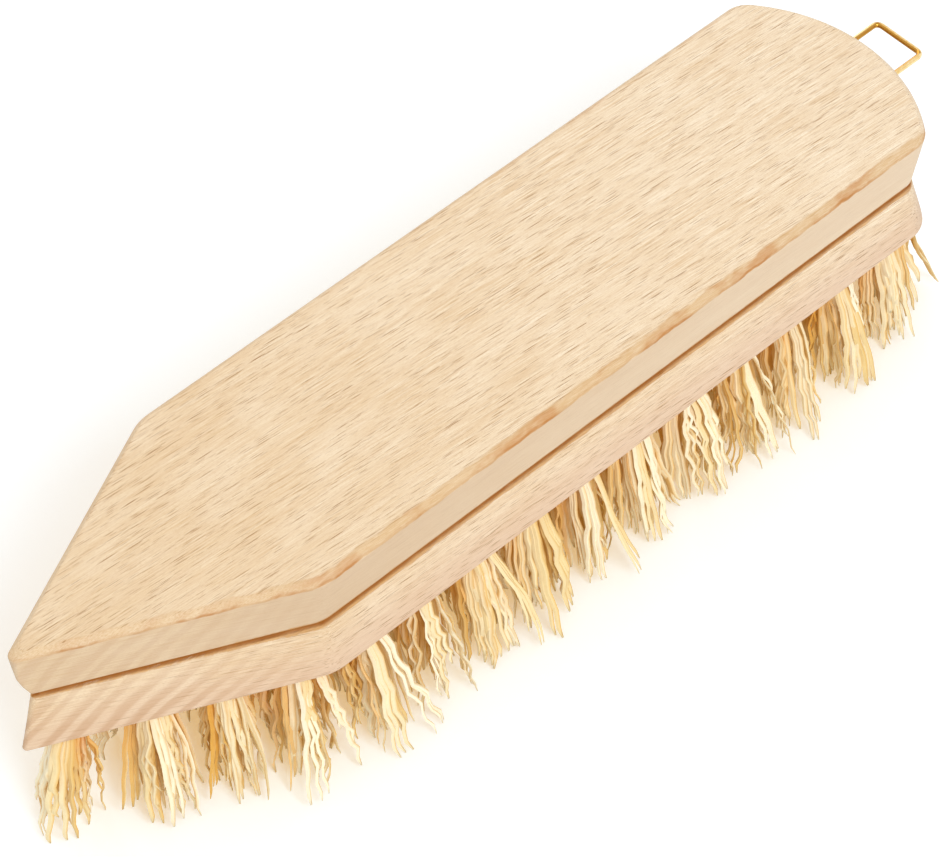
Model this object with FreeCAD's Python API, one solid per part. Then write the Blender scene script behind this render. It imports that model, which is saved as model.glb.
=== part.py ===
import FreeCAD, Part
import math
import os
from FreeCAD import Placement, Rotation, Vector

# Scrub brush, in millimetres. +Z is up and the bristle tips stand on Z = 0. The nose points to -X and
# the hanging loop to +X, with the origin under the middle of the overall length.

# Block: a pointed board whose sides draw in to a grip groove and flare out again to the underside.
# Its plan is that of the upper edge, and every other level stands out from it or in from it.
body_length = 220.0          # sharp nose point to the middle of the rear end
body_width = 52.2
nose_length = 52.9           # sharp nose point to the shoulders
shoulder_radius = 10.0
rear_radius = 38.0           # the rear end is one shallow arc
rear_corner_radius = 6.0
block_height = 27.0
top_chamfer = 1.2
groove_height = 12.25        # underside to the middle of the groove
groove_inset = 1.9
cheek_height = 19.0          # underside to the fullest line of the nose, above the groove
cheek_inset = 0.95
kerf_width = 1.5             # narrow cut along the bottom of the groove
kerf_depth = 1.0
foot_flare = 1.34            # the underside stands out past the upper edge
foot_chamfer = 0.4
upper_tip_radius = 2.0
groove_tip_radius = 0.8
cheek_tip_radius = 0.4
foot_tip_radius = 4.5

# Tufts: five rows of fibre bundles, evenly apart, in blind holes that lean out towards the edge.
bristle_length = 30.0        # free length, underside to tips
edge_inset = 7.0             # underside edge to the middle of the outer row
corner_inset = 9.4           # rear edge to the last tufts of the flanks, at the rear corners
corner_gap = 5.4             # last tufts of the flanks to the first of the rear end, across the block
inner_nose_gap = 7.3         # outer row of the nose to the first tuft of the inner row, square to it
centre_nose_gap = 13.4       # the same to the first tuft of the centre row
hole_diameter = 5.0
hole_depth = 13.0
tip_diameter = 8.8
tuft_side_count = 8          # flats round a tuft and round its hole
outer_lean = 12.0            # degrees
inner_lean = 10.0            # degrees
nose_lean = 6.0              # degrees
flank_count = 14             # outer row on one side, from the nose tuft to the rear corner
rear_count = 3
inner_count = 11
centre_count = 12

# Anchors: flat strips across the bottom of the holes, inside the fold of each tuft.
anchor_thickness = 0.45
anchor_height = 1.8
anchor_bite = 0.8            # how far each end enters the wood
fold_height = 1.4            # fibre between the anchor and the bottom of the hole

# Hanging loop: a wire staple in the rear end.
wire_diameter = 1.2
loop_width = 12.2            # between the middles of the legs
loop_reach = 10.2            # rear end to the middle of the crossbar, at the upper edge
loop_drop = 5.2              # upper edge to the legs
loop_bend_radius = 1.3
leg_depth = 14.0

# Fits
tuft_clearance = 0.15        # tuft to hole, on the radius
seat_clearance = 0.05        # anchor and wire to their seats, on each side
overrun = 3.0                # how far cuts run past a face

# Worked out from the sizes above
half_width = body_width / 2
nose_angle = math.atan2(half_width, nose_length)
underside_z = bristle_length
upper_edge_z = underside_z + block_height - top_chamfer
groove_z = underside_z + groove_height
top_z = underside_z + block_height
nose_cut = upper_tip_radius / math.sin(nose_angle) - upper_tip_radius
overall_length = body_length - nose_cut + loop_reach + wire_diameter / 2
apex_x = -overall_length / 2 - nose_cut
rear_x = apex_x + body_length
rear_centre_x = rear_x - rear_radius


def corner(before, point, after, radius):
    """Start, middle and end of the arc that rounds a corner between two straight sides."""
    to_before = (before - point).normalize()
    to_after = (after - point).normalize()
    half_turn = to_before.getAngle(to_after) / 2
    reach = radius / math.tan(half_turn)
    middle = (to_before + to_after).normalize() * (radius / math.sin(half_turn) - radius)
    return point + to_before * reach, point + middle, point + to_after * reach


def outline(z, outset, tip_radius):
    """Plan of the block at one level: nose arc, nose sides, shoulders, flanks, rear corners, rear arc."""
    side = half_width + outset
    apex = Vector(apex_x - outset / math.sin(nose_angle), 0, z)
    shoulder = Vector(apex.x + side / math.tan(nose_angle), side, z)
    mirrored_shoulder = Vector(shoulder.x, -side, z)
    rear = rear_radius + outset
    round_off = rear_corner_radius + outset
    round_x = rear_centre_x + math.sqrt((rear - round_off) ** 2 - (side - round_off) ** 2)
    round_middle = Vector(round_x, side - round_off, z)
    spread = (round_middle - Vector(rear_centre_x, 0, z)).normalize()
    flank_end = Vector(round_x, side, z)
    rear_start = round_middle + spread * round_off
    corner_middle = round_middle + (spread + Vector(0, 1, 0)).normalize() * round_off
    rear_middle = Vector(rear_x + outset, 0, z)

    nose_start, nose_middle, nose_end = corner(mirrored_shoulder, apex, shoulder, tip_radius)
    bend_start, bend_middle, bend_end = corner(apex, shoulder, flank_end, shoulder_radius + outset)

    def mirrored(point):
        return Vector(point.x, -point.y, point.z)

    edges = [
        Part.Arc(nose_start, nose_middle, nose_end).toShape(),
        Part.LineSegment(nose_end, bend_start).toShape(),
        Part.Arc(bend_start, bend_middle, bend_end).toShape(),
        Part.LineSegment(bend_end, flank_end).toShape(),
        Part.Arc(flank_end, corner_middle, rear_start).toShape(),
        Part.Arc(rear_start, rear_middle, mirrored(rear_start)).toShape(),
        Part.Arc(mirrored(rear_start), mirrored(corner_middle), mirrored(flank_end)).toShape(),
        Part.LineSegment(mirrored(flank_end), mirrored(bend_end)).toShape(),
        Part.Arc(mirrored(bend_end), mirrored(bend_middle), mirrored(bend_start)).toShape(),
        Part.LineSegment(mirrored(bend_start), mirrored(nose_end)).toShape(),
    ]
    return Part.Wire(edges)


def outer_row():
    """Roots of the outer row on one flank, from the nose to the rear corner, each with its lean heading."""
    side = half_width + foot_flare - edge_inset
    start_x = apex_x + (edge_inset - foot_flare) / math.sin(nose_angle)
    bend_x = start_x + side / math.tan(nose_angle)
    end_x = rear_centre_x + math.sqrt((rear_radius + foot_flare - corner_inset) ** 2 - side ** 2)
    nose_run = side / math.sin(nose_angle)
    step = (nose_run + end_x - bend_x) / flank_count
    roots = []
    for index in range(1, flank_count + 1):
        run = step * index
        if run < nose_run:
            x = start_x + run * math.cos(nose_angle)
            y = run * math.sin(nose_angle)
            heading = math.pi / 2 + nose_angle
        else:
            x = bend_x + run - nose_run
            y = side
            heading = math.pi / 2
        roots.append((x, y, heading))
    roots[-1] = (end_x, side, math.atan2(side, end_x - rear_centre_x))
    return start_x, roots, step


def spread(first, last, count):
    """Places evenly apart, both ends included."""
    return [first + (last - first) * index / (count - 1) for index in range(count)]


def tuft_places():
    """Every tuft by node name: root, lean heading and lean. The centre row shares one node."""
    nose_x, flank, step = outer_row()
    places = {"tuft_nose": [(nose_x, 0, math.pi, nose_lean)]}
    for index, (x, y, heading) in enumerate(flank, 1):
        places[f"tuft_left_{index:02d}"] = [(x, -y, -heading, outer_lean)]
        places[f"tuft_right_{index:02d}"] = [(x, y, heading, outer_lean)]

    end_x, side, _ = flank[-1]
    row_radius = rear_radius + foot_flare - edge_inset
    sweep = math.asin((side - corner_gap) / row_radius)
    for index, heading in enumerate(spread(-sweep, sweep, rear_count), 1):
        x = rear_centre_x + row_radius * math.cos(heading)
        places[f"tuft_rear_{index:02d}"] = [(x, row_radius * math.sin(heading), heading, outer_lean)]

    inner_x = nose_x + side / 2 / math.tan(nose_angle) + inner_nose_gap / math.sin(nose_angle)
    for index, x in enumerate(spread(inner_x, end_x - step, inner_count), 1):
        places[f"tuft_inner_left_{index:02d}"] = [(x, -side / 2, -math.pi / 2, inner_lean)]
        places[f"tuft_inner_right_{index:02d}"] = [(x, side / 2, math.pi / 2, inner_lean)]

    centre_x = nose_x + centre_nose_gap / math.sin(nose_angle)
    centre = spread(centre_x, end_x - step / 2, centre_count)
    places["tufts_centre_row"] = [(x, 0, 0, 0) for x in centre]
    return places


def seated(shape, place):
    """A copy of a shape drawn about a hole's mouth, turned to its heading, tilted and put in its place."""
    x, y, heading, lean = place
    tilt_axis = Vector(math.sin(heading), -math.cos(heading), 0)
    turn = Rotation(tilt_axis, lean).multiply(Rotation(Vector(0, 0, 1), math.degrees(heading)))
    moved = shape.copy()
    moved.Placement = Placement(Vector(x, y, underside_z), turn)
    return moved


def faceted(sections):
    """Solid with flat sides through regular polygons, given as (height, radius) from one end to the other."""
    rings = []
    for height, radius in sections:
        angles = [math.tau * (index + 1 / 2) / tuft_side_count for index in range(tuft_side_count)]
        rings.append([Vector(radius * math.cos(a), radius * math.sin(a), height) for a in angles])
    faces = [Part.Face(Part.makePolygon(ring + ring[:1])) for ring in (rings[0], rings[-1])]
    for upper, lower in zip(rings, rings[1:]):
        for index in range(tuft_side_count):
            follows = (index + 1) % tuft_side_count
            corners = [upper[index], upper[follows], lower[follows], lower[index], upper[index]]
            faces.append(Part.Face(Part.makePolygon(corners)))
    return Part.makeSolid(Part.makeShell(faces))


def anchor_strip(clearance):
    """Flat anchor across the hole, with a clearance all round."""
    length = hole_diameter + 2 * anchor_bite + 2 * clearance
    thickness = anchor_thickness + 2 * clearance
    height = anchor_height + 2 * clearance
    low = hole_depth - fold_height - anchor_height - clearance
    return Part.makeBox(thickness, length, height, Vector(-thickness / 2, -length / 2, low))


def drilled_seat():
    """Blind hole of one tuft, with the slit that its anchor cuts down both walls as it is driven in."""
    drilled = faceted([(hole_depth, hole_diameter / 2), (-overrun, hole_diameter / 2)])
    width = anchor_thickness + 2 * seat_clearance
    length = hole_diameter + 2 * anchor_bite + 2 * seat_clearance
    slit = Part.makeBox(width, length, hole_depth + overrun, Vector(-width / 2, -length / 2, -overrun))
    return drilled.fuse(slit)


def bundle():
    """One tuft before trimming: a root that fills the hole and a spray that spreads to the tips."""
    root_radius = hole_diameter / 2 - tuft_clearance
    spray_length = bristle_length / math.cos(math.radians(outer_lean))
    spread = (tip_diameter / 2 - root_radius) / spray_length
    length = spray_length + overrun
    sections = [(hole_depth, root_radius), (0, root_radius), (-length, root_radius + spread * length)]
    return faceted(sections).cut(anchor_strip(seat_clearance))


def loop_wire(radius, extra_depth):
    """Bent wire of the hanging loop, or the tool for its seat: a crossbar, two bends and two legs."""
    z = upper_edge_z - loop_drop
    half = loop_width / 2
    bend_x = rear_x + loop_reach - loop_bend_radius
    bend_y = half - loop_bend_radius
    leg_length = bend_x - rear_x + leg_depth + extra_depth
    bar_start = Vector(rear_x + loop_reach, -bend_y, z)
    pieces = [Part.makeCylinder(radius, 2 * bend_y, bar_start, Vector(0, 1, 0))]
    for side in (1, -1):
        section = Part.Face(Part.Wire(Part.makeCircle(radius, Vector(bend_x, side * half, z), Vector(1, 0, 0))))
        pieces.append(section.extrude(Vector(-leg_length, 0, 0)))
        pieces.append(section.revolve(Vector(bend_x, side * bend_y, z), Vector(0, 0, -side), 90))
    return pieces[0].fuse(pieces[1:])


def block(places):
    """Board lofted level by level, with the kerf cut round it and every seat sunk into it."""
    levels = [
        (underside_z, foot_flare - foot_chamfer, foot_tip_radius),
        (underside_z + foot_chamfer, foot_flare, foot_tip_radius),
        (groove_z, -groove_inset, groove_tip_radius),
        (underside_z + cheek_height, -cheek_inset, cheek_tip_radius),
        (upper_edge_z, 0, upper_tip_radius),
        (top_z, -top_chamfer, upper_tip_radius),
    ]
    board = Part.makeLoft([outline(*level) for level in levels], True, True)

    kerf_z = groove_z - kerf_width / 2
    outside = Part.Face(outline(kerf_z, overrun, upper_tip_radius))
    inside = Part.Face(outline(kerf_z, -groove_inset - kerf_depth, groove_tip_radius))
    kerf = outside.cut(inside).extrude(Vector(0, 0, kerf_width))

    drilled = drilled_seat()
    seats = [seated(drilled, place) for group in places.values() for place in group]
    wire_seat = loop_wire(wire_diameter / 2 + seat_clearance, seat_clearance)
    return board.cut([kerf, wire_seat] + seats)


def save(name, shape):
    shape.exportStep(os.path.join("parts", name + ".step"))


os.makedirs("parts", exist_ok=True)
places = tuft_places()
save("block", block(places))
save("hanging_loop", loop_wire(wire_diameter / 2, 0))
save("tuft_anchors", Part.makeCompound([seated(anchor_strip(0), p) for g in places.values() for p in g]))

floor_reach = body_length
floor = Part.makeBox(
    2 * floor_reach, 2 * floor_reach, floor_reach, Vector(-floor_reach, -floor_reach, -floor_reach)
)
whole_tuft = bundle()
for name, group in places.items():
    save(name, Part.makeCompound([seated(whole_tuft, place).cut(floor) for place in group]))
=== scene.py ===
import bmesh
import bpy
import math
import numpy as np
from mathutils import Matrix, Vector


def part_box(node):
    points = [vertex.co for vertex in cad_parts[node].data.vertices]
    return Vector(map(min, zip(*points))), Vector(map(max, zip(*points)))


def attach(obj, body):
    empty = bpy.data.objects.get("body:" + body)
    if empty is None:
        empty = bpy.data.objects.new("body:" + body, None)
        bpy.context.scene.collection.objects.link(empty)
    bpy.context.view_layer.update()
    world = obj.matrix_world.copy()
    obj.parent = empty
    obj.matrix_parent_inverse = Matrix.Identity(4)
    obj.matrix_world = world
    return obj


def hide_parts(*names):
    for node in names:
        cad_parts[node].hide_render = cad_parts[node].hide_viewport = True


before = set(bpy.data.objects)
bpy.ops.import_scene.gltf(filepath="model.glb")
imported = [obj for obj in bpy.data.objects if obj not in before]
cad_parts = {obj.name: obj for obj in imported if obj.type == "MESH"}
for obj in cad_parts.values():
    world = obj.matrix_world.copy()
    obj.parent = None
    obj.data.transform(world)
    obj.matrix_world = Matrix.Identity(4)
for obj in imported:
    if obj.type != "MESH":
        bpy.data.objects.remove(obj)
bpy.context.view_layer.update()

mm = 0.001
body_length, half_width, nose_length = 220.0, 26.1, 52.9
shoulder_radius, rear_radius, rear_corner_radius = 10.0, 38.0, 6.0
underside_z, top_z, upper_edge_z, groove_z = 30.0, 57.0, 55.8, 42.25
foot_flare, foot_chamfer, top_chamfer = 1.34, 0.5, 1.2
kerf_half, kerf_floor = 0.6, -2.35
hole_radius, hole_depth, drill_overrun = 2.5, 13.0, 4.0
loop_half, leg_seat_radius, leg_seat_length = 6.1, 0.64, 30.0
nose_angle = math.atan2(half_width, nose_length)
rear_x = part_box("block")[1].x / mm - foot_flare
apex_x = rear_x - body_length
rear_centre_x = rear_x - rear_radius


def arc(centre, radius, start, end, count):
    """Points of an arc in plan, both ends included."""
    return [(centre[0] + radius * math.cos(start + (end - start) * i / (count - 1)),
             centre[1] + radius * math.sin(start + (end - start) * i / (count - 1))) for i in range(count)]


def outline(outset, tip_radius, tip_slide=0.0):
    """Plan of the board at one level, counter-clockwise from the nose along the near side. The planed tip may
    lie a little down the near side."""
    side = half_width + outset
    apex = apex_x - outset / math.sin(nose_angle)
    bend = shoulder_radius + outset
    shoulder_x = apex + side / math.tan(nose_angle) + bend * math.tan(nose_angle / 2)
    corner = rear_corner_radius + outset
    corner_x = rear_centre_x + math.sqrt((rear_radius - rear_corner_radius) ** 2 - (side - corner) ** 2)
    sweep = math.atan2(side - corner, corner_x - rear_centre_x)
    square = math.pi / 2
    tip_y = -tip_slide * math.sin(nose_angle)
    tip = (apex + tip_radius / math.sin(nose_angle) + tip_slide * math.cos(nose_angle), tip_y)
    nose = arc(tip, tip_radius, math.pi, math.pi + square - nose_angle, 6)
    near = arc((shoulder_x, bend - side), bend, -square - nose_angle, -square, 8)
    near += arc((corner_x, corner - side), corner, -square, -sweep, 8)
    near += arc((rear_centre_x, 0), rear_radius + outset, -sweep, 0, 14)[1:]
    far = [(x, -y) for x, y in reversed(near[:-1])] + [(x, 2 * tip_y - y) for x, y in reversed(nose[1:])]
    return nose + near + far


def deselect():
    bpy.ops.object.select_all(action="DESELECT")


def raise_ring(obj, level):
    """Puts the selected ring of corners on the outline of one level."""
    z, *plan = level
    points = outline(*plan)
    mesh = bmesh.from_edit_mesh(obj.data)
    station = mesh.verts.layers.int["station"]
    for corner in mesh.verts:
        if corner.select:
            corner.co = Vector((*points[corner[station]], z)) * mm
    bmesh.update_edit_mesh(obj.data)


def select_edges(obj, wanted):
    """Selects the edges whose two ends pass a test."""
    bpy.ops.mesh.select_mode(type="EDGE")
    bpy.ops.mesh.select_all(action="DESELECT")
    mesh = bmesh.from_edit_mesh(obj.data)
    for edge in mesh.edges:
        edge.select_set(all(wanted(corner.co / mm) for corner in edge.verts))
    bmesh.update_edit_mesh(obj.data)


foot_edge_z = underside_z + foot_chamfer
kerf_low, kerf_high = groove_z - kerf_half, groove_z + kerf_half
# Each level has its height, how far it stands out from the plan, and its nose tip's radius and slide.
levels = [
    (underside_z, foot_flare - foot_chamfer, 0.8, 2.9),
    (foot_edge_z, foot_flare, 0.8, 2.9),
    (36.0, -0.2, 0.9, 1.5),
    (kerf_low, -1.7, 1.1),
    (kerf_low, kerf_floor, 0.8),
    (kerf_high, kerf_floor, 0.8),
    (kerf_high, -1.8, 0.7),
    (46.0, -1.37, 0.45),
    (49.0, -0.95, 0.5),
    (52.5, -0.46, 1.1),
    (upper_edge_z, 0.0, 1.7),
    (top_z, -top_chamfer, 1.7),
]
deselect()
bpy.ops.mesh.primitive_circle_add(vertices=len(outline(0, 2.0)), radius=0.1, fill_type="NOTHING")
block = bpy.context.object
block.name = "beech_block"
bpy.ops.object.mode_set(mode="EDIT")
mesh = bmesh.from_edit_mesh(block.data)
station = mesh.verts.layers.int.new("station")
for place, corner in enumerate(mesh.verts):
    corner[station] = place
bmesh.update_edit_mesh(block.data)
bpy.ops.mesh.select_all(action="SELECT")
raise_ring(block, levels[0])
bpy.ops.mesh.edge_face_add()
bpy.ops.mesh.select_mode(type="EDGE")
for level in levels[1:]:
    bpy.ops.mesh.extrude_edges_move()
    raise_ring(block, level)
bpy.ops.mesh.edge_face_add()
bpy.ops.mesh.select_all(action="SELECT")
bpy.ops.mesh.normals_make_consistent(inside=False)

for heights, width in (((upper_edge_z, top_z), 0.35), ((kerf_low, kerf_high), 0.22), ((foot_edge_z,), 0.3)):
    select_edges(block, lambda p: any(abs(p.z - h) < 0.01 for h in heights))
    mesh = bmesh.from_edit_mesh(block.data)
    for edge in mesh.edges:
        level_edge = abs(edge.verts[0].co.z - edge.verts[1].co.z) < 1e-6
        if edge.select and not (level_edge and len({f.normal.to_tuple(2) for f in edge.link_faces}) == 2):
            edge.select_set(False)
    bmesh.update_edit_mesh(block.data)
    bpy.ops.mesh.bevel(offset=width * mm, segments=3, affect="EDGES", clamp_overlap=True)
bpy.ops.object.mode_set(mode="OBJECT")


def tuft_seats(node):
    """Mouth and outward direction of each tuft of a CAD node, in millimetres, from its solids' two ends."""
    tuft_gap, tip_band, end_band = 3.0, 0.01, 1.2
    points = np.array([corner.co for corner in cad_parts[node].data.vertices]) / mm
    points = np.unique(points.round(3), axis=0)
    groups = np.split(points, np.flatnonzero(np.diff(points[:, 0]) > tuft_gap) + 1)
    seats = []
    for group in groups:
        tip = group[group[:, 2] < tip_band].mean(0)
        end = group[group[:, 2] > group[:, 2].max() - end_band].mean(0)
        way = (tip - end) / np.linalg.norm(tip - end)
        seats.append((Vector(end + way * (underside_z - end[2]) / way[2]), Vector(way)))
    return seats


tuft_nodes = sorted(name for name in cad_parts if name.startswith("tuft") and name != "tuft_anchors")
seats = {node: tuft_seats(node) for node in tuft_nodes}

deselect()
drills = []
drill_length = hole_depth + drill_overrun
for node in tuft_nodes:
    for mouth, way in seats[node]:
        bpy.ops.mesh.primitive_cylinder_add(
            vertices=20, radius=hole_radius * mm, depth=drill_length * mm,
            location=(mouth - way * (hole_depth - drill_length / 2)) * mm,
            rotation=way.to_track_quat("Z", "Y").to_euler())
        drills.append(bpy.context.object)
loop_z = sum(corner.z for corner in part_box("hanging_loop")) / 2 / mm
for leg_y in (-loop_half, loop_half):
    bpy.ops.mesh.primitive_cylinder_add(
        vertices=16, radius=leg_seat_radius * mm, depth=leg_seat_length * mm,
        location=Vector((rear_x, leg_y, loop_z)) * mm, rotation=(0, math.pi / 2, 0))
    drills.append(bpy.context.object)
for drill in drills:
    drill.select_set(True)
bpy.ops.object.join()
drill = bpy.context.object
deselect()
block.select_set(True)
bpy.context.view_layer.objects.active = block
bpy.ops.object.modifier_add(type="BOOLEAN")
block.modifiers[-1].object = drill
block.modifiers[-1].operation = "DIFFERENCE"
block.modifiers[-1].solver = "EXACT"
bpy.ops.object.modifier_apply(modifier=block.modifiers[-1].name)
bpy.data.objects.remove(drill)
bpy.ops.object.shade_smooth_by_angle(angle=math.radians(35))
bpy.ops.object.modifier_add(type="WEIGHTED_NORMAL")
block.modifiers[-1].keep_sharp = True
bpy.ops.object.modifier_apply(modifier=block.modifiers[-1].name)


def srgb(code):
    """A colour as it is seen, written in hexadecimal, for a socket."""
    parts = [int(code[i:i + 2], 16) / 255 for i in (0, 2, 4)]
    return tuple(p / 12.92 if p < 0.04045 else ((p + 0.055) / 1.055) ** 2.4 for p in parts) + (1.0,)


class Socket:
    """One output of a material's nodes. Sums and products of these add Math nodes."""

    def __init__(self, tree, output):
        self.tree, self.output = tree, output

    def node(self, kind, settings, sockets, output=0):
        made = self.tree.nodes.new(kind)
        for name, setting in settings.items():
            if name == "stops":
                ends = made.color_ramp.elements
                ends[0].color, ends[1].color = setting[0][1], setting[-1][1]
                for position, colour in setting[1:-1]:
                    ends.new(position).color = colour
            else:
                setattr(made, name, setting)
        for name, value in sockets.items():
            if isinstance(value, Socket):
                self.tree.links.new(value.output, made.inputs[name])
            else:
                made.inputs[name].default_value = value
        return Socket(self.tree, made.outputs[output])

    def math(self, operation, *values):
        return self.node("ShaderNodeMath", {"operation": operation}, dict(enumerate((self,) + values)))

    def __add__(self, other):
        return self.math("ADD", other)

    def __sub__(self, other):
        return self.math("SUBTRACT", other)

    def __rsub__(self, other):
        return (self * -1.0) + other

    def __mul__(self, other):
        return self.math("MULTIPLY", other)

    def __truediv__(self, other):
        return self.math("DIVIDE", other)

    __radd__, __rmul__ = __add__, __mul__

    def least(self, other):
        return self.math("MINIMUM", other)

    def most(self, other):
        return self.math("MAXIMUM", other)

    def size(self):
        return self.math("ABSOLUTE")

    def between(self, low, high):
        """0 below low, 1 above high, and smooth in between."""
        return self.node("ShaderNodeMapRange", {"interpolation_type": "SMOOTHSTEP"},
                         {"Value": self, "From Min": low, "From Max": high})

    def vector(self, y, z):
        return self.node("ShaderNodeCombineXYZ", {}, {"X": self, "Y": y, "Z": z})

    def parts(self):
        return [self.node("ShaderNodeSeparateXYZ", {}, {0: self}, part) for part in range(3)]

    def length(self):
        return self.node("ShaderNodeVectorMath", {"operation": "LENGTH"}, {0: self}, 1)

    def noise(self, scale=1.0, detail=2.0, roughness=0.5):
        return self.node("ShaderNodeTexNoise", {}, {
            "Vector": self, "Scale": scale, "Detail": detail, "Roughness": roughness})

    def mixed(self, first, second):
        return self.node("ShaderNodeMix", {"data_type": "RGBA"}, {0: self, 6: first, 7: second}, 2)


def new_finish(name):
    """A material with its shader, and the object's own coordinates in millimetres."""
    material = bpy.data.materials.new(name)
    material.use_nodes = True
    tree = material.node_tree
    place = Socket(tree, tree.nodes.new("ShaderNodeTexCoord").outputs["Object"])
    place = place.node("ShaderNodeVectorMath", {"operation": "SCALE"}, {0: place, "Scale": 1 / mm})
    return material, tree.nodes["Principled BSDF"], place


def link(shader, **sockets):
    for name, value in sockets.items():
        shader.id_data.links.new(value.output, shader.inputs[name.replace("_", " ")])


grain_slope, facet_slope, ring_spacing = 0.07, 0.06, 2.2
beech, shader, place = new_finish("sanded_beech")
x, y, z = place.parts()
to_rear = x.between(apex_x, rear_x)
nose_side = 1 - x.between(apex_x + 20.0, apex_x + 56.0)
facet = 1 - z.between(upper_edge_z - 0.5, upper_edge_z)
upper_facet = facet * z.between(groove_z, groove_z + 1.0)
low_side = 1 - z.between(underside_z, groove_z)
nose_gap = (x - apex_x) * math.sin(nose_angle) - y.size() * math.cos(nose_angle)
side_gap = (half_width - y.size()).least(nose_gap)
across = (y + x * grain_slope) * (1 - facet) + side_gap * facet
up = z + x * facet * facet_slope

ring_depth = y * 0.934 + z * 0.357
wander = (x * 0.012).vector(y * 0.05, z * 0.05).noise(1.0, 2.0)
uneven = (x * 0.006).vector(ring_depth * 0.33, 0.0).noise(1.0, 2.0)
ring_turns = (ring_depth + wander * 5.0 + uneven * 2.5) * (math.tau / ring_spacing)
rings = ring_turns.math("SINE") * 0.5 + 0.5
streaks = (x * 0.01).vector(ring_depth * 0.55, z * 0.02).noise(1.0, 4.0, 0.6)
fibre = (x * 0.1).vector(across * 8.0, up * 8.0).noise(1.0, 2.0, 0.6)
mottle = (x * 0.05).vector(y * 0.09, z * 0.09).noise(1.0, 3.0)
speckle = (x * 2.2).vector(across * 5.5, up * 5.5).noise(1.0, 2.0, 0.6)


def pores(length, spacing, width):
    """Dark pores of the wood: thin tubes that lie along the grain, one to a cell, cut open by the surface."""
    cell = (x / length).vector(across / spacing, up / spacing)
    centre = cell.node("ShaderNodeTexVoronoi", {}, {"Vector": cell, "Scale": 1.0}, "Position")
    depth = Socket(cell.tree, centre.output.node.outputs["Color"]).parts()[0]
    gap = cell.node("ShaderNodeVectorMath", {"operation": "SUBTRACT"}, {0: cell, 1: centre})
    along, aside, above = [part.size() for part in gap.parts()]
    cut = 1 - aside.most(above).between(width * 0.6 / spacing, width / spacing)
    return cut * (1 - along.between(0.1, 0.5)) * (0.25 + depth * 0.75)


flecks = pores(5.5, 0.8, 0.09).most(pores(3.8, 0.5, 0.072) * 0.85).most(pores(2.8, 0.36, 0.06) * 0.7)
flecks = flecks * (1 - nose_side * facet * 0.6)

# Painted light: the wood is painted paler, and its streaks fainter, towards the rear end, where more light
# falls.
wood = to_rear.mixed(srgb("EFD8B6"), srgb("FEEFD6"))
wood = (streaks.between(0.35, 0.72) * (0.45 - to_rear * 0.15)).mixed(wood, srgb("E6C79E"))
wood = (fibre.between(0.36, 0.64) * 0.8).mixed(wood, srgb("DBB98C"))
wood = (mottle.between(0.35, 0.75) * 0.35).mixed(wood, srgb("F9E9CF"))
wood = (speckle.between(0.46, 0.74) * 0.3).mixed(wood, srgb("C9A273"))
wood = (low_side * (0.6 - nose_side * 0.1)).mixed(wood, srgb("DCBAA0"))
# Painted shade: the upper side facet is painted darker than the top, where the lamps light it more. It is paler
# towards the rear and less darkened at the nose.
upper_facet_shade = to_rear.mixed(srgb("D5B896"), srgb("EBD5B8"))
wood = (upper_facet * (0.75 - nose_side * 0.5)).mixed(wood, upper_facet_shade)
ring_share = 0.08 + nose_side * facet * (0.2 + low_side * 0.46) * (0.5 + uneven)
wood = (rings.between(0.1, 0.9) * ring_share).mixed(wood, srgb("CCA480"))
chamfer = (1 - facet) * (1 - z.between(top_z - 0.3, top_z - 0.1))
wood = (flecks * (1 - (upper_facet + chamfer) * 0.8)).mixed(wood, srgb("A0754A"))

ragged = (x * 0.25).vector(y * 0.25, z * 0.25).noise(1.0, 3.0) - 0.5
char = (x * 0.35).vector(y * 1.6, z * 1.6).noise(1.0, 4.0, 0.7)
near_side = 1 - y.between(-8.0, 8.0) * 0.6
chamfer_burn = 1 - (side_gap + ragged * 1.8).between(1.3, 1.9)
chamfer_burn = chamfer_burn * (z + ragged * 1.6).between(upper_edge_z - 0.6, upper_edge_z - 0.1)
chamfer_burn = chamfer_burn * (0.3 + x.between(apex_x + 10.0, apex_x + 75.0) * 0.7) * near_side
patch = (x * 0.1).vector(y * 0.25, z * 0.25).noise(1.0, 3.0, 0.6).between(0.42, 0.66)
toasted = patch.mixed(srgb("D2AA74"), srgb("C48848"))
wood = (chamfer_burn * (0.35 + char * 0.4 + patch * 0.2)).mixed(wood, toasted)
arris = 1 - (z - upper_edge_z + ragged * 1.2).size().between(0.08, 0.4)
wood = (arris * (0.2 + patch * 0.5) * near_side).mixed(wood, srgb("B87838"))

# Groove: a scorched band along it, and painted shade in the kerf, whose colour darkens to deep brown towards
# the kerf's inner wall.
from_centre, far_off = (x - rear_centre_x).vector(y, 0.0).length(), 60.0
rear_end = x.between(rear_centre_x, rear_centre_x + 1.0)
edge_gap = side_gap.least(rear_end * (rear_radius - from_centre - far_off) + far_off)
from_groove = (z - groove_z).size() + 0.15 + ragged * 0.6 + (char - 0.5) * 0.9 + nose_side * 0.3
groove_scorch_and_shade = 1 - from_groove.between(1.0, 1.4)
kerf_shade = (edge_gap + ragged * 0.5).between(1.7, 2.4)
scorched = char.between(0.3, 0.7).mixed(srgb("D09848"), srgb("AE7228"))
wood = (groove_scorch_and_shade * (0.7 + kerf_shade * 0.25)).mixed(wood, kerf_shade.mixed(scorched, srgb("A05E0C")))

height = fibre * 0.5 - flecks * 0.8 + speckle * 0.4
bump = place.node("ShaderNodeBump", {}, {"Strength": 0.15, "Distance": 0.0004, "Height": height})
shader.inputs["Specular IOR Level"].default_value = 0.25
link(shader, Base_Color=wood, Roughness=0.5 + fibre * 0.18, Normal=bump)
block.data.materials.append(beech)
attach(block, "root")
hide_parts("block")

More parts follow.
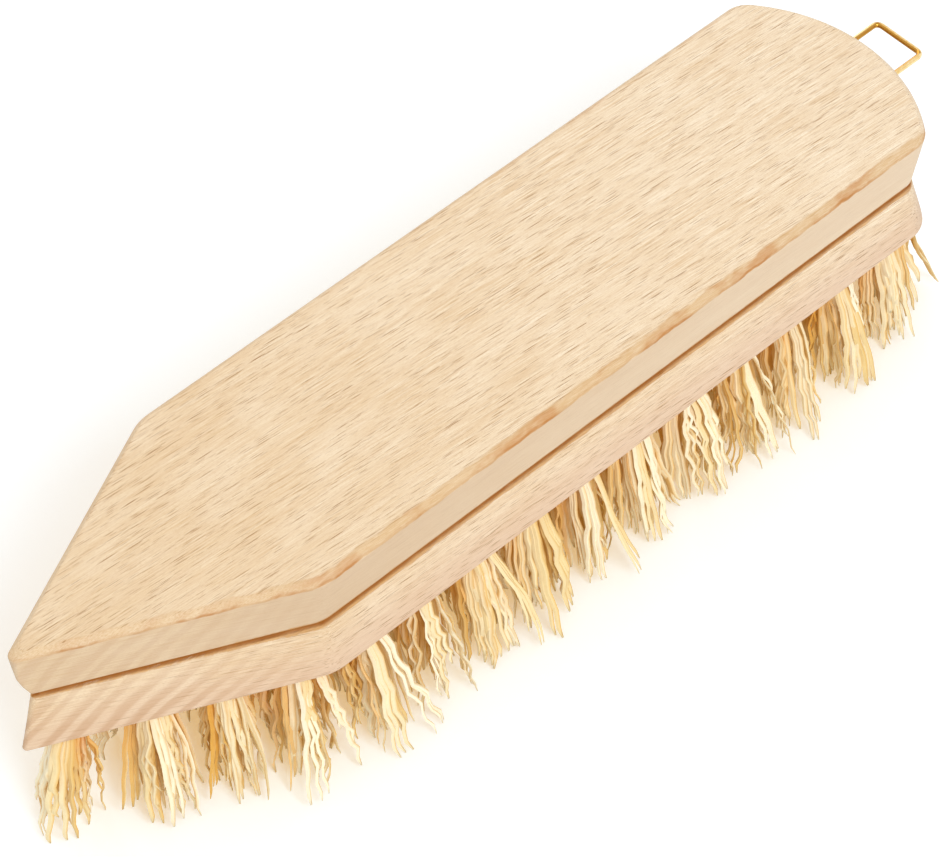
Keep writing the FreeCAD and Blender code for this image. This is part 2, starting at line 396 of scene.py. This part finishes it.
# Anchors: short strips of flat galvanised wire, driven across the bottom of each hole inside the fold of a
# tuft. Their ends bite into the wood, which is all that holds the fibre. The CAD solids are used as they are.
zinc, shader, place = new_finish("galvanised_strip")
x, y, z = place.parts()
drawn = (x * 6.0).vector(y * 0.8, z * 6.0).noise(1.0, 3.0)
shader.inputs["Metallic"].default_value = 1.0
link(shader, Base_Color=drawn.mixed(srgb("9C9C98"), srgb("C8C8C2")), Roughness=0.3 + drawn * 0.25)
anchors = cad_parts["tuft_anchors"]
for finish in anchors.material_slots:
    finish.material = zinc

# Tufts: bundles of coarse plant fibre, doubled over an anchor and drawn into a hole. The strands are wavy,
# flattened and uneven, and are clipped roughly level, so that their thin ends stand out of line.
strand_length, strand_root, strand_sides, strand_steps, strand_kinds = 31.0, 11.0, 4, 16, 24
lock_count, lock_size, lock_turn, lock_pitch = 15, 3, 2.4, 0.42
root_radius, flare_height, stray_share, short_share = 1.6, 4.5, 0.07, 0.3
nose_push = np.array((-2.6, -0.6, 0.0))
random = np.random.default_rng(11)


def add_strand(index):
    """One wavy strand, drawn down from its root in the hole, ring by ring. That leaves it inside out, so its
    faces are then turned outwards."""
    deselect()
    bpy.ops.mesh.primitive_circle_add(
        vertices=strand_sides, radius=mm, fill_type="NGON", location=(0, 0, strand_root * mm))
    strand = bpy.context.object
    strand.name = f"strand_{index}"
    bpy.ops.object.transform_apply(location=True)
    bpy.ops.object.mode_set(mode="EDIT")
    bpy.ops.mesh.select_all(action="SELECT")
    bpy.ops.transform.resize(value=(random.uniform(0.5, 0.7), random.uniform(0.26, 0.36), 1))
    sway, ripple = random.uniform(0.2, 0.9, 2), random.uniform(0.05, 0.55, 2)
    sway_turns, ripple_turns = random.uniform(0.4, 1.0, 2), random.uniform(3.0, 5.2, 2)
    sway_start, ripple_start = random.uniform(0, math.tau, 2), random.uniform(0, math.tau, 2)
    last = np.array((0, 0, strand_root))
    for step in range(strand_steps):
        share = step / (strand_steps - 1)
        swing = sway * (np.sin(math.tau * sway_turns * share + sway_start) - np.sin(sway_start))
        swing += ripple * (np.sin(math.tau * ripple_turns * share + ripple_start) - np.sin(ripple_start))
        now = np.array((*(swing * min(1.0, 2 * share)), -strand_length * share))
        bpy.ops.mesh.extrude_region_move(TRANSFORM_OT_translate={"value": tuple((now - last) * mm)})
        if share > 0.6:
            taper = 0.4 if step == strand_steps - 1 else 0.94
            bpy.ops.transform.resize(value=(taper, taper, 1))
        last = now
    bpy.ops.mesh.select_all(action="SELECT")
    bpy.ops.mesh.normals_make_consistent(inside=False)
    bpy.ops.object.mode_set(mode="OBJECT")
    corners = np.array([corner.co / mm for corner in strand.data.vertices])
    faces = np.array([face.vertices[:] for face in strand.data.polygons])
    bpy.data.objects.remove(strand)
    return corners, faces


strands = [add_strand(index) for index in range(strand_kinds)]

straw, shader, place = new_finish("plant_fibre")
tone, reach, ridge, shelter = [
    place.node("ShaderNodeAttribute", {"attribute_name": name}, {}, 2)
    for name in ("tone", "reach", "ridge", "shelter")]
colour = tone.node("ShaderNodeValToRGB", {"stops": [
    (0.0, srgb("E2B85C")), (0.35, srgb("EBCE82")), (0.7, srgb("F5DFA2")), (1.0, srgb("FCEEC4"))]}, {0: tone})
# Painted highlight and shade on each strand: a pale stripe down the middle of each broad face, and orange
# edges.
colour = ((1 - ridge) * 0.5).mixed(colour, srgb("DC9C38"))
# Painted shade: strands in the inner rows or on a tuft's inner side, and all strands towards the root, are
# tinted orange-brown. The tint fades towards the tips.
shade = shelter * (1 - reach.between(0.5, 0.95))
colour = (ridge * (0.1 + tone * 0.85) * (1 - shade * 0.85)).mixed(colour, srgb("FFF7DC"))
root_shade = 1 - reach.between(0.0, 0.6)
colour = (root_shade * (0.12 + shade * 0.6) + shade * 0.34).mixed(colour, srgb("D98318"))
grain = place.noise(1.6, 3.0, 0.6)
colour = (grain.between(0.45, 0.8) * 0.15).mixed(colour, srgb("E8B85C"))
painted_glow = (shade * (0.2 + root_shade * 0.8)).mixed((0.04, 0.026, 0.004, 1), (0.2, 0.085, 0.005, 1))
shader.inputs["Sheen Weight"].default_value = 0.3
shader.inputs["Sheen Roughness"].default_value = 0.4
shader.inputs["Sheen Tint"].default_value = srgb("FFDC92")
shader.inputs["Emission Strength"].default_value = 1.0
# Painted glow: a faint warm glow over all the fibre, strongest in the painted shade near the roots, stands for
# light that passes through the fibre, so it is not sampled as a lamp.
straw.cycles.emission_sampling = "NONE"
link(shader, Base_Color=colour, Roughness=0.38 + grain * 0.25, Emission_Color=painted_glow)

for node in tuft_nodes:
    corners, faces, marks = [], [], {"tone": [], "reach": [], "ridge": [], "shelter": []}
    for mouth, way in seats[node]:
        seat = Matrix.Translation(mouth) @ way.to_track_quat("-Z", "Y").to_matrix().to_4x4()
        to_edge = Vector((way.x, way.y, 0)).normalized()
        for lock in range(lock_count):
            shape, shape_faces = strands[random.integers(strand_kinds)]
            from_axis = math.sqrt((lock + 0.5) / lock_count)
            angle = lock * lock_turn + random.uniform(-0.3, 0.3)
            outward = Vector((math.cos(angle), math.sin(angle), 0))
            splay = from_axis * 4.5 + random.normal(0, 2.2)
            if random.random() < stray_share:
                splay += random.uniform(3.0, 8.0)
            spin = angle + math.pi / 2 + random.normal(0, 0.5)
            beside = Vector((math.cos(spin), math.sin(spin), 0))
            flare = np.array(seat.to_3x3() @ outward) * from_axis * random.uniform(1.6, 2.9)
            if node == "tuft_nose":
                flare += nose_push
            lock_tone = random.beta(2.2, 1.3)
            # Painted shade, stored with each strand: higher for strands on a tuft's inner side, and full for
            # the inner and centre rows.
            strand_shade = 0.25 - 0.5 * from_axis * (seat.to_3x3() @ outward).dot(to_edge)
            if "inner" in node or "centre" in node:
                strand_shade = 1.0
            for member in range(lock_size):
                aside = member - 1 + random.normal(0, 0.15)
                lean = outward * math.tan(math.radians(splay)) + beside * aside * random.uniform(0.015, 0.05)
                turn = Vector((0, 0, -1)).rotation_difference(Vector((lean.x, lean.y, -1)))
                own = Matrix.Translation(outward * root_radius * from_axis + beside * aside * lock_pitch)
                own = own @ turn.to_matrix().to_4x4()
                own = own @ Matrix.Rotation(spin + random.normal(0, 0.2), 4, "Z")
                own = seat @ own
                fall = (own.to_3x3() @ Vector((0, 0, 1))).z
                reach_to = underside_z - 0.2 - abs(random.normal(0, 1.7))
                if random.random() < short_share:
                    reach_to -= random.uniform(2.0, 9.0)
                thick = random.uniform(0.8, 1.15)
                own = own @ Matrix.Diagonal((thick, thick, min(reach_to / (strand_length * fall), 1.15), 1))
                own = np.array(own)
                first = sum(map(len, corners))
                placed = shape @ own[:3, :3].T + own[:3, 3]
                placed += flare * (1 - np.exp(np.minimum(shape[:, 2:], 0) / flare_height))
                placed[:, 2] = np.maximum(placed[:, 2], 0.05)
                corners.append(placed)
                faces += [tuple(face + first) for face in shape_faces]
                marks["tone"] += [min(1.0, max(0.0, lock_tone + random.normal(0, 0.12)))] * len(shape)
                marks["reach"] += list(-shape[:, 2] / strand_length)
                marks["ridge"] += [1 - corner % 2 for corner in range(len(shape))]
                marks["shelter"] += [min(1.0, max(0.0, strand_shade))] * len(shape)
    data = bpy.data.meshes.new(node + "_fibres")
    data.from_pydata(np.concatenate(corners) * mm, [], faces)
    for name, values in marks.items():
        data.attributes.new(name, "FLOAT", "POINT").data.foreach_set("value", np.array(values, np.float32))
    data.shade_smooth()
    ends = np.empty(2 * len(data.edges), np.int32)
    data.edges.foreach_get("vertices", ends)
    lengthwise = np.diff(ends.reshape(-1, 2) // strand_sides).ravel() != 0
    data.attributes.new("sharp_edge", "BOOLEAN", "EDGE").data.foreach_set("value", lengthwise)
    data.materials.append(straw)
    bundle = bpy.data.objects.new(node + "_fibres", data)
    bpy.context.collection.objects.link(bundle)
    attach(bundle, "root")
    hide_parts(node)

# Hanging loop: a staple of drawn brass wire, bent square over a small former. Its two legs are driven into
# the rear end, and their grip in the wood holds it still.
wire_radius, bend_radius, leg_depth = 0.6, 1.3, 14.0
bar_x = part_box("hanging_loop")[1].x / mm - wire_radius
deselect()
bpy.ops.mesh.primitive_circle_add(
    vertices=16, radius=wire_radius * mm, fill_type="NGON", rotation=(0, math.pi / 2, 0),
    location=Vector((rear_x - leg_depth, -loop_half, loop_z)) * mm)
loop = bpy.context.object
loop.name = "wire_loop"
bpy.ops.object.transform_apply(location=True, rotation=True, scale=True)
bpy.ops.object.mode_set(mode="EDIT")
bpy.ops.mesh.select_all(action="SELECT")
leg = Vector((bar_x - bend_radius - rear_x + leg_depth, 0, 0)) * mm
bar = Vector((0, 2 * (loop_half - bend_radius), 0)) * mm
bpy.ops.mesh.extrude_region_move(TRANSFORM_OT_translate={"value": leg})
bpy.ops.mesh.spin(steps=8, angle=-math.pi / 2, axis=(0, 0, 1),
                  center=Vector((bar_x - bend_radius, bend_radius - loop_half, loop_z)) * mm)
bpy.ops.mesh.extrude_region_move(TRANSFORM_OT_translate={"value": bar})
bpy.ops.mesh.spin(steps=8, angle=-math.pi / 2, axis=(0, 0, 1),
                  center=Vector((bar_x - bend_radius, loop_half - bend_radius, loop_z)) * mm)
bpy.ops.mesh.extrude_region_move(TRANSFORM_OT_translate={"value": -leg})
bpy.ops.mesh.select_all(action="SELECT")
bpy.ops.mesh.remove_doubles(threshold=1e-6)
bpy.ops.mesh.normals_make_consistent(inside=False)
bpy.ops.object.mode_set(mode="OBJECT")
bpy.ops.object.shade_smooth_by_angle(angle=math.radians(40))

brass, shader, place = new_finish("drawn_brass")
x, y, z = place.parts()
drawn = (x * 1.5).vector(y * 1.5, z * 9.0).noise(1.0, 3.0)
tarnish = place.noise(0.9, 3.0)
# Painted dark reflection: the wire's inner faces, towards the middle of the loop, are painted dark brown.
inner_side_shade = 1 - y.size().between(loop_half - 0.3, loop_half + 0.2)
inner_side_shade = inner_side_shade * (1 - x.between(bar_x - 0.3, bar_x + 0.2))
metal = tarnish.between(0.35, 0.75).mixed(srgb("FFE9B8"), srgb("F0C87C"))
metal = inner_side_shade.mixed(metal, srgb("B47A22"))
shader.inputs["Metallic"].default_value = 1.0
link(shader, Base_Color=(drawn * 0.4).mixed(metal, srgb("E9BE6A")), Roughness=0.12 + drawn * 0.16)
loop.data.materials.append(brass)
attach(loop, "root")
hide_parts("hanging_loop")

# Floor, light and camera: a white table under a large soft light, with the brush seen from above its nose.
# To the camera the table is white with a soft shadow, and the light that it sends back is a plain grey.
world_light = 0.62
deselect()
bpy.ops.mesh.primitive_plane_add(size=6.0, location=(0, 0, -0.00005))
floor = bpy.context.object
floor.name = "floor"
white = bpy.data.materials.new("white_table")
white.use_nodes = True
shader = white.node_tree.nodes["Principled BSDF"]
shader.inputs["Roughness"].default_value = 0.9


def seen_rays(tree):
    """1 where the camera, a reflection or a clear piece looks, and 0 for the light itself."""
    paths = tree.nodes.new("ShaderNodeLightPath").outputs
    camera_ray, glossy, through = [
        Socket(tree, paths[name]) for name in ("Is Camera Ray", "Is Glossy Ray", "Is Transmission Ray")]
    return camera_ray.most(glossy).most(through)


seen = seen_rays(white.node_tree)
far = Socket(white.node_tree, white.node_tree.nodes.new("ShaderNodeTexCoord").outputs["Object"])
far = far.length().between(0.3, 1.4)
shader.inputs["Emission Strength"].default_value = 1.0
link(shader, Base_Color=seen.mixed((0.85, 0.85, 0.85, 1), (0.5, 0.77, 1.0, 1)),
     Emission_Color=seen.mixed((0, 0, 0, 1), far.mixed((0.57, 0.35, 0.15, 1), (0.75, 0.6, 0.45, 1))))
floor.data.materials.append(white)

world = bpy.data.worlds.new("studio")
bpy.context.scene.world = world
world.use_nodes = True
world.node_tree.nodes["Background"].inputs["Color"].default_value = (1, 1, 1, 1)
link(world.node_tree.nodes["Background"], Strength=world_light + seen_rays(world.node_tree) * (1 - world_light))

for name, power, width, spot in (
        ("key", 6.6, 0.45, (-0.2, -0.75, 0.9)), ("back", 3.4, 0.8, (0.35, 0.9, 0.7))):
    lamp = bpy.data.lights.new(name, "AREA")
    lamp.energy, lamp.size = power, width
    lamp_object = bpy.data.objects.new(name, lamp)
    lamp_object.location = spot
    lamp_object.rotation_euler = (Vector((0, 0, 0.03)) - Vector(spot)).to_track_quat("-Z", "Y").to_euler()
    bpy.context.collection.objects.link(lamp_object)

bpy.context.scene.view_settings.view_transform = "Standard"
camera = bpy.data.objects.new("camera", bpy.data.cameras.new("camera"))
bpy.context.collection.objects.link(camera)
camera.data.sensor_fit, camera.data.sensor_width, camera.data.lens = "HORIZONTAL", 36.0, 141.32
azimuth, elevation, roll = (math.radians(angle) for angle in (-41.49, 51.21, -1.65))
camera.location = Vector((apex_x - 186.4, -337.5, upper_edge_z + 531.0)) * mm
camera.rotation_euler = (Matrix.Rotation(azimuth, 3, "Z") @ Matrix.Rotation(math.pi / 2 - elevation, 3, "X")
                         @ Matrix.Rotation(roll, 3, "Z")).to_euler()
camera.data.clip_start, camera.data.clip_end = 0.01, 20.0
bpy.context.scene.camera = camera
